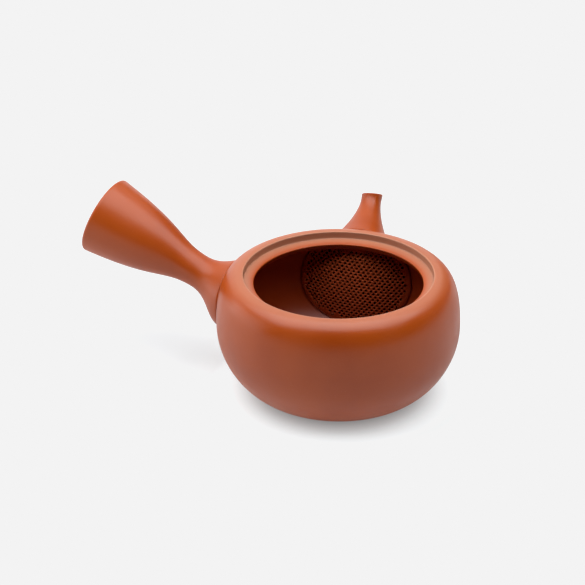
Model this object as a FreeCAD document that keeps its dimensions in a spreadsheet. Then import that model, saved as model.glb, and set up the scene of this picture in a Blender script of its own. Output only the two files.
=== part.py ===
"""A side-handled clay teapot, built the way a potter builds it.

The pot is thrown; the handle, the spout and the strainer are made apart and luted on with
slip. The origin is the middle of the base on the table, +Z is up, +Y points out of the
spout, and the handle stands a little less than a quarter turn round from it.
Lengths are in millimetres and angles in degrees.
"""

import FreeCAD
import Part

import math
import os

import Sketcher

Vector = FreeCAD.Vector

# Driving dimensions, by the piece that carries them
SIZES = {
    # thrown pot: outer wall
    "belly_radius": 55.0,
    "belly_height": 33.0,
    "base_radius": 31.4,
    "base_flare_run": 12.3,
    "base_flare_rise": 2.7,
    "belly_pull_down": 15.8,
    "belly_pull_up": 16.6,
    "shoulder_pull": 8.0,
    "rim_height": 57.0,
    # thrown pot: seat for a lid, and the mouth
    "seat_radius": 42.7,
    "seat_depth": 3.0,
    "seat_corner_radius": 0.5,
    "rim_lip_radius": 0.8,
    "ledge_fall": 1.1,
    "ledge_thickness": 3.0,
    "ledge_width": 4.8,
    "mouth_edge_radius": 0.7,
    "mouth_undercut": 1.2,
    # thrown pot: inner wall and floor
    "wall_thickness": 3.8,
    "floor_thickness": 4.0,
    "floor_inset": 4.4,
    "floor_flare_run": 12.5,
    "floor_flare_rise": 2.0,
    "inner_pull_down": 14.5,
    "inner_pull_up": 14.0,
    "inner_shoulder_pull": 9.0,
    # luting slip between the pieces, and how far it stays back from their edges
    "slip_thickness": 0.6,
    "slip_setback": 0.9,
    # handle, thrown as a trumpet and luted to the belly
    "handle_azimuth": 165.1,
    "handle_tilt": 20.0,
    "handle_foot_rise": 1.87,
    "handle_foot_sink": 1.0,
    "handle_root_depth": 9.0,
    "handle_foot_radius": 17.0,
    "handle_foot_pull": 7.0,
    "handle_foot_swell": 0.4,
    "handle_foot_wall": 3.6,
    "handle_slip_setback": 1.6,
    "handle_waist_run": 21.4,
    "handle_waist_radius": 7.8,
    "handle_waist_pull_in": 10.2,
    "handle_waist_pull_out": 15.6,
    "handle_end_run": 74.6,
    "handle_end_radius": 18.5,
    "handle_end_pull": 37.7,
    "handle_end_fall": 4.3,
    "handle_wall": 2.7,
    "handle_lip_length": 1.2,
    # spout, a curved cone luted over the pour hole
    "spout_root_sink": 7.3,
    "spout_root_drop": 17.8,
    "spout_root_tilt": 25.0,
    "spout_root_pull": 12.8,
    "spout_tip_run": 33.6,
    "spout_tip_rise": 1.7,
    "spout_tip_tilt": 58.0,
    "spout_tip_pull": 9.2,
    "spout_root_wall": 4.2,
    "spout_tip_wall": 1.7,
    "spout_lip_round": 0.7,
    "spout_radius_at_0": 19.9,
    "spout_radius_at_1": 18.5,
    "spout_radius_at_2": 14.1,
    "spout_radius_at_3": 10.15,
    "spout_radius_at_4": 7.65,
    "spout_radius_at_5": 5.8,
    "spout_radius_at_6": 4.8,
    "spout_radius_at_7": 4.9,
    "pour_hole_radius": 10.5,
    # strainer, a shallow pierced dome behind the pour hole
    "dome_radius": 75.0,
    "dome_thickness": 2.2,
    "dome_bulge": 12.2,
    "dome_drop": 12.2,
    "dome_border": 2.2,
    "pierced_pitch": 3.3,
    "pierced_row": 2.1,
    "pierced_radius": 0.7,
    # how far a cutting shape runs past what it cuts
    "overrun": 6.0,
}

# Where along the spout's centre line its sections stand, the first one sunk in the belly
SPOUT_SECTION_SHARES = (-0.12, 0.0, 0.2, 0.4, 0.55, 0.7, 0.85, 1.0)
# Corners of one pierced hole, and how sure a hole's place must be to count as inside
PIERCED_SIDES = 6
INSIDE_SHARE = 0.01
PARTS_FOLDER = "parts"


def cubic(poles, share):
    """A formula for one coordinate of a cubic run at a share of its way."""
    rest = 1 - share
    weights = (rest ** 3, 3 * share * rest ** 2, 3 * share ** 2 * rest, share ** 3)
    return " + ".join("%.6f * %s" % pair for pair in zip(weights, poles))


def cubic_slope(poles, share):
    """A formula for how fast one coordinate of a cubic run changes at a share of its way."""
    rest = 1 - share
    weights = (-3 * rest ** 2, 3 * rest ** 2 - 6 * share * rest, 6 * share * rest - 3 * share ** 2, 3 * share ** 2)
    return " + ".join("%.6f * %s" % pair for pair in zip(weights, poles))


def worked_sizes():
    """Formulas for the lengths that follow from the driving ones."""
    worked = {
        "inner_radius": "belly_radius - wall_thickness",
        "floor_radius": "base_radius - floor_inset",
        "mouth_radius": "seat_radius - ledge_width",
        "crest_radius": "seat_radius + rim_lip_radius",
        "seat_floor": "rim_height - seat_depth",
        "ledge_edge": "rim_height - seat_depth - ledge_fall",
        "underside": "rim_height - seat_depth - ledge_fall - ledge_thickness",
        "throat_radius": "mouth_radius + mouth_undercut",
        "handle_foot_reach": "belly_radius - handle_foot_sink",
        "handle_root_reach": "handle_foot_reach - handle_root_depth",
        "handle_waist_reach": "handle_foot_reach + handle_waist_run",
        "handle_end_reach": "handle_foot_reach + handle_end_run",
        "handle_axis_height": "belly_height + handle_foot_rise - handle_foot_reach * sin(handle_tilt)",
        "handle_foot_bore": "handle_foot_radius - handle_foot_wall",
        "handle_waist_bore": "handle_waist_radius - handle_wall",
        "handle_end_bore": "handle_end_radius - handle_wall",
        "dome_reach": "inner_radius - dome_bulge",
        "dome_height": "spout_root_height - dome_drop",
        "dome_centre": "dome_reach + dome_radius",
        "dome_hollow": "dome_radius - dome_thickness",
        "spout_root_reach": "belly_radius - spout_root_sink",
        "spout_root_height": "rim_height - spout_root_drop",
        "spout_tip_reach": "spout_root_reach + spout_tip_run",
        "spout_tip_height": "rim_height + spout_tip_rise",
        "spout_reach_leave": "spout_root_reach + spout_root_pull * cos(spout_root_tilt)",
        "spout_reach_arrive": "spout_tip_reach - spout_tip_pull * cos(spout_tip_tilt)",
        "spout_height_leave": "spout_root_height + spout_root_pull * sin(spout_root_tilt)",
        "spout_height_arrive": "spout_tip_height - spout_tip_pull * sin(spout_tip_tilt)",
    }
    reach = ("spout_root_reach", "spout_reach_leave", "spout_reach_arrive", "spout_tip_reach")
    height = ("spout_root_height", "spout_height_leave", "spout_height_arrive", "spout_tip_height")
    for number, share in enumerate(SPOUT_SECTION_SHARES):
        worked["spout_reach_at_%d" % number] = cubic(reach, share)
        worked["spout_height_at_%d" % number] = cubic(height, share)
        worked["spout_turn_at_%d" % number] = "atan2(%s; %s)" % (
            cubic_slope(height, share), cubic_slope(reach, share))
        worked["spout_bore_at_%d" % number] = (
            "spout_radius_at_%d - spout_root_wall - %.6f * (spout_tip_wall - spout_root_wall)" % (number, share))
    return worked


WORKED = worked_sizes()

doc = FreeCAD.newDocument("side_handled_teapot")


def fill_sheet():
    """Write each size into its own cell under its name, the driving ones first."""
    page = doc.addObject("Spreadsheet::Sheet", "sizes")
    cells = [(name, repr(number)) for name, number in SIZES.items()]
    cells += [(name, "=" + formula) for name, formula in WORKED.items()]
    for row, (name, _) in enumerate(cells, start=1):
        page.set("A%d" % row, name)
        page.setAlias("B%d" % row, name)
    for row, (_, text) in enumerate(cells, start=1):
        page.set("B%d" % row, text)
    doc.recompute()
    return page


sheet = fill_sheet()


def from_sheet(text):
    """A formula with the sheet named before each of its sizes."""
    pieces = []
    word = ""
    for letter in text + " ":
        if letter.isalnum() or letter == "_":
            word += letter
            continue
        pieces.append("sizes." + word if word in SIZES or word in WORKED else word)
        pieces.append(letter)
        word = ""
    return "".join(pieces).strip()


def measure(text):
    """The value of a formula in the sheet's sizes."""
    answer = sheet.evalExpression(from_sheet(text))
    return float(getattr(answer, "Value", answer))


def bind(owner, place, text):
    """Bind one property to a formula in the sheet's sizes."""
    owner.setExpression(place, from_sheet(text))


def grown(text, growth):
    """A formula with another added to it."""
    return "%s + (%s)" % (text, growth) if growth else text


def shrunk(text, shrink):
    """A formula with another taken from it."""
    return "%s - (%s)" % (text, shrink) if shrink else text


def new_body(name):
    """An empty body with a name of its own."""
    body = doc.addObject("PartDesign::Body", name)
    body.Label = name
    return body


def new_sketch(body, name, role):
    """A sketch on one of the body's own origin planes."""
    plane = [item for item in body.Origin.OriginFeatures if item.Role == role][0]
    sketch = body.newObject("Sketcher::SketchObject", name)
    sketch.AttachmentSupport = [(plane, "")]
    sketch.MapMode = "FlatFace"
    return sketch


class Outline:
    """A closed outline of straight and curved runs, each point given by two formulas."""

    def __init__(self, sketch, start):
        self.sketch = sketch
        self.start = start
        self.here = start
        self.runs = []

    def point(self, place):
        """The drawn point of a pair of formulas."""
        return Vector(measure(place[0]), measure(place[1]), 0)

    def pin(self, geometry, vertex, place):
        """Hold one vertex at a pair of formulas."""
        for kind, text in zip(("DistanceX", "DistanceY"), place):
            index = self.sketch.addConstraint(
                Sketcher.Constraint(kind, -1, 1, geometry, vertex, measure(text)))
            bind(self.sketch, "Constraints[%d]" % index, text)

    def line(self, end):
        """A straight run to a new point."""
        index = self.sketch.addGeometry(
            Part.LineSegment(self.point(self.here), self.point(end)), False)
        self.runs.append((index, 1, 2, end))
        self.here = end

    def arc(self, middle, end):
        """A round run through a middle point to a new one, drawn anticlockwise either way."""
        first, second, last = (self.point(place) for place in (self.here, middle, end))
        circle = Part.Arc(first, second, last).toShape().Curve
        centre = circle.Center
        turn = (second - first).cross(last - second).z
        ends = (first, last) if turn > 0 else (last, first)
        angles = [math.atan2(place.y - centre.y, place.x - centre.x) for place in ends]
        full = Part.Circle(centre, Vector(0, 0, 1), circle.Radius)
        index = self.sketch.addGeometry(Part.ArcOfCircle(full, angles[0], angles[1]), False)
        marker = self.sketch.addGeometry(Part.Point(second), True)
        self.sketch.addConstraint(Sketcher.Constraint("PointOnObject", marker, 1, index))
        self.pin(marker, 1, middle)
        vertices = (1, 2) if turn > 0 else (2, 1)
        self.runs.append((index, vertices[0], vertices[1], end))
        self.here = end

    def curve(self, leave, arrive, end):
        """A cubic run that leaves and arrives along its two pull points."""
        places = (self.here, leave, arrive, end)
        poles = [self.point(place) for place in places]
        spline = Part.BSplineCurve(poles, None, None, False, 3, None, False)
        index = self.sketch.addGeometry(spline, False)
        first_handle = self.sketch.GeometryCount
        self.sketch.exposeInternalGeometry(index)
        for number in (1, 2):
            self.pin(first_handle + number, 3, places[number])
        self.runs.append((index, 1, 2, end))
        self.here = end

    def close(self):
        """A straight run back to the start, and every corner joined and held."""
        self.line(self.start)
        for number, (index, _, last, end) in enumerate(self.runs):
            following = self.runs[(number + 1) % len(self.runs)]
            self.sketch.addConstraint(
                Sketcher.Constraint("Coincident", index, last, following[0], following[1]))
            self.pin(index, last, end)


def turned(body, sketch, name, axis):
    """A full turn of a sketch about one of its own axes."""
    feature = body.newObject("PartDesign::Revolution", name)
    feature.Profile = sketch
    feature.ReferenceAxis = (sketch, [axis])
    feature.Angle = 360
    sketch.Visibility = False
    return feature


def outer_wall(outline, growth):
    """The pot's outer wall from the edge of the base up to the crest of the rim."""
    belly = grown("belly_radius", growth)
    crest = grown("rim_height", growth)
    outline.curve(
        (grown("base_radius + base_flare_run", growth), "base_flare_rise"),
        (belly, "belly_height - belly_pull_down"),
        (belly, "belly_height"))
    outline.curve(
        (belly, "belly_height + belly_pull_up"),
        (grown("crest_radius + shoulder_pull", growth), crest),
        ("crest_radius", crest))


def inner_wall(outline, shrink):
    """The pot's inner wall from under the ledge down to the floor."""
    inner = shrunk("inner_radius", shrink)
    floor = grown("floor_thickness", shrink)
    outline.curve(
        (shrunk("throat_radius + inner_shoulder_pull", shrink), shrunk("underside", shrink)),
        (inner, "belly_height + inner_pull_up"),
        (inner, "belly_height"))
    outline.curve(
        (inner, "belly_height - inner_pull_down"),
        (shrunk("floor_radius + floor_flare_run", shrink), grown("floor_thickness + floor_flare_rise", shrink)),
        ("floor_radius", floor))


def make_thrown_pot():
    """The thrown pot: base, wall, rim, seat, ledge, mouth and floor in one turned section."""
    body = new_body("thrown_pot")
    outline = Outline(new_sketch(body, "pot_section", "XZ_Plane"), ("base_radius", "0"))
    outer_wall(outline, "")
    outline.arc(
        ("seat_radius + rim_lip_radius * (1 - cos(45))", "rim_height - rim_lip_radius * (1 - sin(45))"),
        ("seat_radius", "rim_height - rim_lip_radius"))
    outline.line(("seat_radius", "seat_floor + seat_corner_radius"))
    outline.arc(
        ("seat_radius - seat_corner_radius * (1 - cos(45))", "seat_floor + seat_corner_radius * (1 - sin(45))"),
        ("seat_radius - seat_corner_radius", "seat_floor"))
    outline.line(("mouth_radius + mouth_edge_radius", "ledge_edge"))
    outline.arc(
        ("mouth_radius + mouth_edge_radius * (1 - sin(45))", "ledge_edge - mouth_edge_radius * (1 - cos(45))"),
        ("mouth_radius", "ledge_edge - mouth_edge_radius"))
    outline.line(("throat_radius", "underside"))
    inner_wall(outline, "")
    outline.line(("0", "floor_thickness"))
    outline.line(("0", "0"))
    outline.close()
    turned(body, outline.sketch, "pot_turned", "V_Axis")
    return body


def make_filled_pot(name, growth):
    """The pot's outer form filled up, grown outwards: what the luted pieces are fitted to."""
    body = new_body(name)
    outline = Outline(new_sketch(body, name + "_section", "XZ_Plane"), (grown("base_radius", growth), "0"))
    outer_wall(outline, growth)
    outline.line(("0", grown("rim_height", growth)))
    outline.line(("0", "0"))
    outline.close()
    turned(body, outline.sketch, name + "_turned", "V_Axis")
    return body


def make_well(name, shrink):
    """The pot's hollow as a solid, drawn in from the wall, the floor and the ledge."""
    body = new_body(name)
    top = shrunk("underside", shrink)
    outline = Outline(new_sketch(body, name + "_section", "XZ_Plane"), ("throat_radius", top))
    inner_wall(outline, shrink)
    outline.line(("0", grown("floor_thickness", shrink)))
    outline.line(("0", top))
    outline.close()
    turned(body, outline.sketch, name + "_turned", "V_Axis")
    return body


def stand_on_handle_axis(owner):
    """Lay a piece drawn along +X onto the handle's axis."""
    bind(owner, "Placement",
         "create(<<placement>>; create(<<vector>>; 0; 0; handle_axis_height); "
         "create(<<rotation>>; handle_azimuth; -handle_tilt; 0))")


def make_handle_blank():
    """The handle before it is fitted to the pot: a hollow trumpet turned about its own axis."""
    body = new_body("handle_blank")
    outline = Outline(
        new_sketch(body, "handle_section", "XZ_Plane"), ("handle_root_reach", "handle_foot_radius"))
    lip_start = "handle_end_reach - handle_lip_length"
    outline.line(("handle_foot_reach", "handle_foot_radius"))
    outline.curve(
        ("handle_foot_reach + handle_foot_pull", "handle_foot_radius + handle_foot_swell"),
        ("handle_waist_reach - handle_waist_pull_in", "handle_waist_radius"),
        ("handle_waist_reach", "handle_waist_radius"))
    outline.curve(
        ("handle_waist_reach + handle_waist_pull_out", "handle_waist_radius"),
        ("handle_end_reach - handle_end_pull", "handle_end_radius - handle_end_fall"),
        (lip_start, "handle_end_radius"))
    outline.arc(
        ("handle_end_reach", "handle_end_radius - handle_wall / 2"),
        (lip_start, "handle_end_bore"))
    outline.curve(
        ("handle_end_reach - handle_end_pull", "handle_end_bore - handle_end_fall"),
        ("handle_waist_reach + handle_waist_pull_out", "handle_waist_bore"),
        ("handle_waist_reach", "handle_waist_bore"))
    outline.curve(
        ("handle_waist_reach - handle_waist_pull_in", "handle_waist_bore"),
        ("handle_foot_reach + handle_foot_pull", "handle_foot_bore"),
        ("handle_foot_reach", "handle_foot_bore"))
    outline.line(("handle_root_reach", "handle_foot_bore"))
    outline.close()
    turned(body, outline.sketch, "handle_turned", "H_Axis")
    stand_on_handle_axis(body)
    return body


def make_handle_sleeve():
    """A plain tube inside the handle's foot that marks out where its slip lies."""
    body = new_body("handle_sleeve")
    skin = "handle_foot_radius - handle_slip_setback"
    bore = "handle_foot_bore + slip_setback / 3"
    start = "handle_root_reach - overrun"
    outline = Outline(new_sketch(body, "handle_sleeve_section", "XZ_Plane"), (start, skin))
    outline.line(("handle_waist_reach", skin))
    outline.line(("handle_waist_reach", bore))
    outline.line((start, bore))
    outline.close()
    turned(body, outline.sketch, "handle_sleeve_turned", "H_Axis")
    stand_on_handle_axis(body)
    return body


def spout_round(body, name, section, radius_text):
    """One round section of the spout, square to its centre line."""
    sketch = new_sketch(body, name, "XY_Plane")
    sketch.addGeometry(Part.Circle(Vector(), Vector(0, 0, 1), measure(radius_text)), False)
    sketch.addConstraint(Sketcher.Constraint("Coincident", 0, 3, -1, 1))
    index = sketch.addConstraint(Sketcher.Constraint("Radius", 0, measure(radius_text)))
    bind(sketch, "Constraints[%d]" % index, radius_text)
    bind(sketch, "AttachmentOffset",
         "create(<<placement>>; create(<<vector>>; 0; spout_reach_at_%d; spout_height_at_%d); "
         "create(<<rotation>>; 0; 0; spout_turn_at_%d - 90 deg))" % (section, section, section))
    sketch.Visibility = False
    return sketch


def loft(body, kind, name, radius_pattern, sections):
    """A smooth skin or bore through round sections of the spout."""
    rounds = [
        spout_round(body, "%s_%d" % (name, section), section, radius_pattern.replace("#", str(section)))
        for section in sections]
    doc.recompute()
    feature = body.newObject(kind, name)
    feature.Profile = rounds[0]
    feature.Sections = rounds[1:]
    doc.recompute()
    return feature


def tip_edges(shape):
    """The names of the round edges at the spout's tip."""
    tip = Vector(0, measure("spout_tip_reach"), measure("spout_tip_height"))
    turn = math.radians(measure("spout_tip_tilt"))
    along = Vector(0, math.cos(turn), math.sin(turn))
    slack = measure("spout_tip_wall") * INSIDE_SHARE
    names = []
    for number, edge in enumerate(shape.Edges, start=1):
        if all(abs((vertex.Point - tip).dot(along)) < slack for vertex in edge.Vertexes) and edge.Closed:
            names.append("Edge%d" % number)
    return names


def make_spout_blank():
    """The spout before it is fitted to the pot: a curved cone with its bore and a soft lip."""
    body = new_body("spout_blank")
    sections = range(len(SPOUT_SECTION_SHARES))
    loft(body, "PartDesign::AdditiveLoft", "spout_skin", "spout_radius_at_#", sections)
    hollow = loft(body, "PartDesign::SubtractiveLoft", "spout_bore", "spout_bore_at_#", sections)
    lip = body.newObject("PartDesign::Fillet", "spout_lip")
    lip.Base = (hollow, tip_edges(hollow.Shape))
    bind(lip, "Radius", "spout_lip_round")
    hollow.Visibility = False
    return body


def make_spout_sleeve():
    """A tube along the spout's root that marks out where its slip lies."""
    body = new_body("spout_sleeve")
    near = range(len(SPOUT_SECTION_SHARES) // 2)
    loft(body, "PartDesign::AdditiveLoft", "sleeve_skin", "spout_radius_at_# - slip_setback", near)
    loft(body, "PartDesign::SubtractiveLoft", "sleeve_bore", "spout_bore_at_# + slip_setback / 3", near)
    return body


def make_pour_hole():
    """The round tool that opens the wall behind the spout."""
    tool = doc.addObject("Part::Cylinder", "pour_hole_tool")
    bind(tool, "Radius", "pour_hole_radius")
    bind(tool, "Height", "spout_tip_reach - mouth_radius")
    bind(tool, "Placement",
         "create(<<placement>>; create(<<vector>>; 0; mouth_radius; "
         "spout_root_height - (spout_root_reach - mouth_radius) * tan(spout_root_tilt)); "
         "create(<<rotation>>; 0; 0; spout_root_tilt - 90))")
    return tool


def make_dome_blank(name, skin, hollow):
    """A shallow round dome that bulges towards the pot's middle, before it is trimmed."""
    body = new_body(name)
    half = "asin(inner_radius / dome_radius) / 2"
    whole = "asin(inner_radius / dome_radius)"
    outline = Outline(new_sketch(body, name + "_section", "XY_Plane"), ("0", "dome_centre - (%s)" % skin))
    outline.arc(
        ("(%s) * sin(%s)" % (skin, half), "dome_centre - (%s) * cos(%s)" % (skin, half)),
        ("(%s) * sin(%s)" % (skin, whole), "dome_centre - (%s) * cos(%s)" % (skin, whole)))
    outline.line(
        ("(%s) * sin(%s)" % (hollow, whole), "dome_centre - (%s) * cos(%s)" % (hollow, whole)))
    outline.arc(
        ("(%s) * sin(%s)" % (hollow, half), "dome_centre - (%s) * cos(%s)" % (hollow, half)),
        ("0", "dome_centre - (%s)" % hollow))
    outline.close()
    turned(body, outline.sketch, name + "_turned", "V_Axis")
    bind(body, "Placement.Base.z", "dome_height")
    return body


def pierced_places(border):
    """Where the dome is pierced: staggered rows, kept clear of its edge by a plain border."""
    pitch = measure("pierced_pitch")
    row = measure("pierced_row")
    spread = measure("inner_radius")
    radius = measure("dome_radius")
    reach = measure("dome_reach")
    height = measure("dome_height")
    slack = measure("pierced_radius") * INSIDE_SHARE
    rows = int(spread / row)
    columns = int(spread / pitch) + 1
    places = []
    for level in range(-rows, rows + 1):
        shift = pitch / 2 * (level % 2)
        for column in range(-columns, columns + 1):
            across = column * pitch + shift
            up = level * row
            if math.hypot(across, up) > spread:
                continue
            depth = reach + radius - math.sqrt(radius ** 2 - across ** 2 - up ** 2)
            if border.isInside(Vector(across, depth, height + up), slack, True):
                places.append((across, height + up))
    return places


def make_needles(border):
    """The six-sided needles that pierce the dome, one for each hole."""
    radius = measure("pierced_radius")
    start = measure("dome_reach - overrun")
    length = measure("dome_thickness + dome_bulge + 2 * overrun")
    needles = []
    for across, up in pierced_places(border.Shape):
        corners = []
        for number in range(PIERCED_SIDES + 1):
            turn = 2 * math.pi * (number + 0.5) / PIERCED_SIDES
            corners.append(Vector(across + radius * math.cos(turn), start, up + radius * math.sin(turn)))
        needles.append(Part.Face(Part.makePolygon(corners)).extrude(Vector(0, length, 0)))
    tool = doc.addObject("Part::Feature", "needles")
    tool.Label = "needles"
    tool.Shape = Part.makeCompound(needles)
    return tool


def combine(kind, name, base, tool):
    """One piece less another, or what two pieces share."""
    feature = doc.addObject("Part::" + kind, name)
    feature.Label = name
    feature.Base = base
    feature.Tool = tool
    return feature


def make_pieces():
    """Every piece of the teapot, fitted to its neighbours."""
    thrown = make_thrown_pot()
    pot = combine("Cut", "pot_body", thrown, make_pour_hole())

    fitted = make_filled_pot("fitted_form", "slip_thickness")
    handle = combine("Cut", "handle", make_handle_blank(), fitted)
    spout = combine("Cut", "spout", make_spout_blank(), fitted)

    slip_coat = combine("Cut", "slip_coat", fitted, make_filled_pot("bare_form", ""))
    handle_slip = combine("Common", "handle_slip_joint", slip_coat, make_handle_sleeve())
    spout_slip = combine("Common", "spout_slip_joint", slip_coat, make_spout_sleeve())

    well = make_well("well", "")
    inner_well = make_well("inner_well", "slip_thickness")
    border = make_well("border_well", "slip_thickness + dome_border")
    dome = make_dome_blank("dome_blank", "dome_radius", "dome_hollow")
    trimmed = combine("Common", "trimmed_dome", dome, inner_well)
    doc.recompute()
    strainer = combine("Cut", "strainer_dome", trimmed, make_needles(border))
    band = make_dome_blank(
        "dome_band", "dome_radius - slip_setback / 3", "dome_hollow + slip_setback / 3")
    well_coat = combine("Cut", "well_coat", well, inner_well)
    strainer_slip = combine("Common", "strainer_slip_joint", well_coat, band)
    doc.recompute()
    return [pot, handle, spout, strainer, handle_slip, spout_slip, strainer_slip]


def check_and_write(pieces):
    """Stop on any failed object or broken solid, then write each piece to its own file."""
    for item in doc.Objects:
        if "Invalid" in item.State or "Error" in item.State:
            raise RuntimeError("%s did not build: %s" % (item.Label, item.getStatusString()))
    for piece in pieces:
        shape = piece.Shape
        if shape.isNull() or not shape.isValid() or not shape.Solids:
            raise RuntimeError("%s has no valid solid" % piece.Label)
    os.makedirs(PARTS_FOLDER, exist_ok=True)
    for piece in pieces:
        piece.Shape.exportStep(os.path.join(PARTS_FOLDER, piece.Label + ".step"))
        print("%-22s solids %d volume %10.1f faces %d" % (
            piece.Label, len(piece.Shape.Solids), piece.Shape.Volume, len(piece.Shape.Faces)))


check_and_write(make_pieces())
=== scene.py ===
import logging
import math
from collections.abc import Callable
from dataclasses import dataclass, field
from enum import Enum

import bmesh
import bpy
import numpy as np
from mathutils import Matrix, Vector
from mathutils.geometry import delaunay_2d_cdt


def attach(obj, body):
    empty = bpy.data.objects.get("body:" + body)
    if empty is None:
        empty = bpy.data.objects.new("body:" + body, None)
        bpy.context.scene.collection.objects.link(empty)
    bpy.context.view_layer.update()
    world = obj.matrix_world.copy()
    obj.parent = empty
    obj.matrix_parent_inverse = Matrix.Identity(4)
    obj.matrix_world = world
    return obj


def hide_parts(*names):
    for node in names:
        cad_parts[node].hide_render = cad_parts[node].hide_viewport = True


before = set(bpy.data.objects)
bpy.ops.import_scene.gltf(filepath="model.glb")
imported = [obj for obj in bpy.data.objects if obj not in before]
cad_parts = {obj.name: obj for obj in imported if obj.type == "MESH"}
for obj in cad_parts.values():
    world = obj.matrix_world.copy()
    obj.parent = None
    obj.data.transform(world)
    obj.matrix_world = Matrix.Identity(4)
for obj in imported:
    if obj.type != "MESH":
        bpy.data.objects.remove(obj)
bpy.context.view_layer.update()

LOG = logging.getLogger("side_handled_teapot")
MM = 0.001
FULL_TURN = 2.0 * math.pi
ZONES = "clay_zones"
Array = np.ndarray
Shade = bpy.types.NodeSocket | tuple


# Shared shape mathematics

def full_circle(steps: int) -> Array:
    """Evenly spaced angles once round, in radians."""
    return np.linspace(0.0, FULL_TURN, steps, endpoint=False)


def blended(first: Array, second: Array, share: Array) -> Array:
    """A straight blend: first (1 - share) + second share."""
    return first * (1 - share) + second * share


def eased(share: Array) -> Array:
    """A soft step from 0 to 1: 3 s^2 - 2 s^3."""
    return 3 * share ** 2 - 2 * share ** 3


def cubic(p0: tuple, p1: tuple, p2: tuple, p3: tuple, count: int) -> Array:
    """Points of a cubic Bezier run: (1-t)^3 p0 + 3t(1-t)^2 p1 + 3t^2(1-t) p2 + t^3 p3.

    Args:
        p0, p1, p2, p3: End, pull, pull and end points.
        count: How many points, both ends counted.

    Returns:
        A (count, 2) array.
    """
    share = np.linspace(0.0, 1.0, count)[:, None]
    rest = 1.0 - share
    return (rest ** 3 * np.array(p0) + 3 * share * rest ** 2 * np.array(p1)
            + 3 * share ** 2 * rest * np.array(p2) + share ** 3 * np.array(p3))


def round_corner(centre: tuple, radius: float, start: float, stop: float, count: int) -> Array:
    """Points of a circular arc: centre + radius (cos a, sin a) for a from start to stop degrees.

    Args:
        centre: Middle of the arc.
        radius: Its radius.
        start, stop: Angles in degrees.
        count: How many points.

    Returns:
        A (count, 2) array.
    """
    angle = np.radians(np.linspace(start, stop, count))
    return np.array(centre) + radius * np.stack([np.cos(angle), np.sin(angle)], axis=1)


def grown(profile: Array, distance: float) -> Array:
    """A profile moved sideways along its normals, to its right as it runs.

    Args:
        profile: (n, 2) points of radius and height.
        distance: How far it moves.

    Returns:
        The moved points.
    """
    run = np.gradient(profile, axis=0)
    run /= np.linalg.norm(run, axis=1, keepdims=True)
    return profile + distance * np.stack([run[:, 1], -run[:, 0]], axis=1)


def smooth_table(shares: Array, values: Array, wanted: Array) -> Array:
    """A smooth line through a table: a cubic Hermite run between rows with averaged slopes.

    Args:
        shares: Rising table positions.
        values: Table values.
        wanted: Positions to read at.

    Returns:
        The values read.
    """
    slopes = np.gradient(values, shares)
    row = np.clip(np.searchsorted(shares, wanted) - 1, 0, len(shares) - 2)
    width = shares[row + 1] - shares[row]
    t = (wanted - shares[row]) / width
    return ((1 - eased(t)) * values[row] + (t ** 3 - 2 * t ** 2 + t) * width * slopes[row]
            + eased(t) * values[row + 1] + (t ** 3 - t ** 2) * width * slopes[row + 1])


def drift(angle: Array, height: Array, seed: int, waves: int = 5) -> Array:
    """A slow hand-made unevenness: a sum of a few low sine waves round and up, seeded.

    Args:
        angle: Angles round the piece in radians.
        height: A second coordinate in millimetres.
        seed: Which unevenness.
        waves: How many sine waves are summed.

    Returns:
        Values of about -1 to 1.
    """
    random = np.random.default_rng(seed)
    total = np.zeros(np.broadcast(angle, height).shape)
    for _ in range(waves):
        turns = int(random.integers(1, 5))
        rise, phase = random.uniform(0.02, 0.12), random.uniform(0, FULL_TURN)
        total = total + np.sin(turns * angle + height * rise + phase)
    return total / math.sqrt(waves)


def last_crossing(way: Array, gap: Array) -> Array:
    """Where each column of gaps turns positive for the last time, between two samples.

    Args:
        way: (n,) rising positions.
        gap: (n, m) signed gaps, negative inside.

    Returns:
        (m,) positions.
    """
    inside = gap < 0.0
    if not inside.any(axis=0).all():
        raise RuntimeError("a line never enters the belly")
    row = np.minimum(len(way) - 2, len(way) - 1 - np.argmax(inside[::-1], axis=0))
    column = np.arange(gap.shape[1])
    before, after = gap[row, column], gap[row + 1, column]
    return way[row] + (way[1] - way[0]) * np.clip(before / (before - after), 0.0, 1.0)


# Meshes from arrays

def new_mesh(name: str, points: Array, faces: list) -> bpy.types.Object:
    """A smooth-shaded piece from points in millimetres, linked at the origin.

    Args:
        name: The piece's name.
        points: (n, 3) array in millimetres.
        faces: Arrays of quads or triangles.

    Returns:
        The new object.
    """
    sizes = np.concatenate([np.full(len(part), part.shape[1], dtype=np.int32) for part in faces])
    starts = np.concatenate([[0], np.cumsum(sizes)[:-1]]).astype(np.int32)
    loops = np.concatenate([part.ravel() for part in faces]).astype(np.int32)
    mesh = bpy.data.meshes.new(name)
    mesh.vertices.add(len(points))
    mesh.vertices.foreach_set("co", (points * MM).astype(np.float32).ravel())
    mesh.loops.add(len(loops))
    mesh.loops.foreach_set("vertex_index", loops)
    mesh.polygons.add(len(sizes))
    mesh.polygons.foreach_set("loop_start", starts)
    mesh.polygons.foreach_set("loop_total", sizes)
    mesh.polygons.foreach_set("use_smooth", np.ones(len(sizes), dtype=bool))
    mesh.update(calc_edges=True)
    mesh.validate()
    piece = bpy.data.objects.new(name, mesh)
    bpy.context.scene.collection.objects.link(piece)
    return piece


def facing_out(points: Array, faces: list) -> list:
    """Turns every face over if the closed surface holds a negative volume.

    The volume is the sum over triangles of a . (b x c), six times too large, which its sign doesn't mind.

    Args:
        points: (n, 3) array.
        faces: Arrays of quads or triangles.

    Returns:
        The faces, pointing outwards.
    """
    volume = 0.0
    for part in faces:
        first = points[part[:, 0]]
        for corner in range(1, part.shape[1] - 1):
            across = np.cross(points[part[:, corner]], points[part[:, corner + 1]])
            volume += np.einsum("ij,ij->i", first, across).sum()
    return faces if volume > 0 else [part[:, ::-1] for part in faces]


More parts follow.
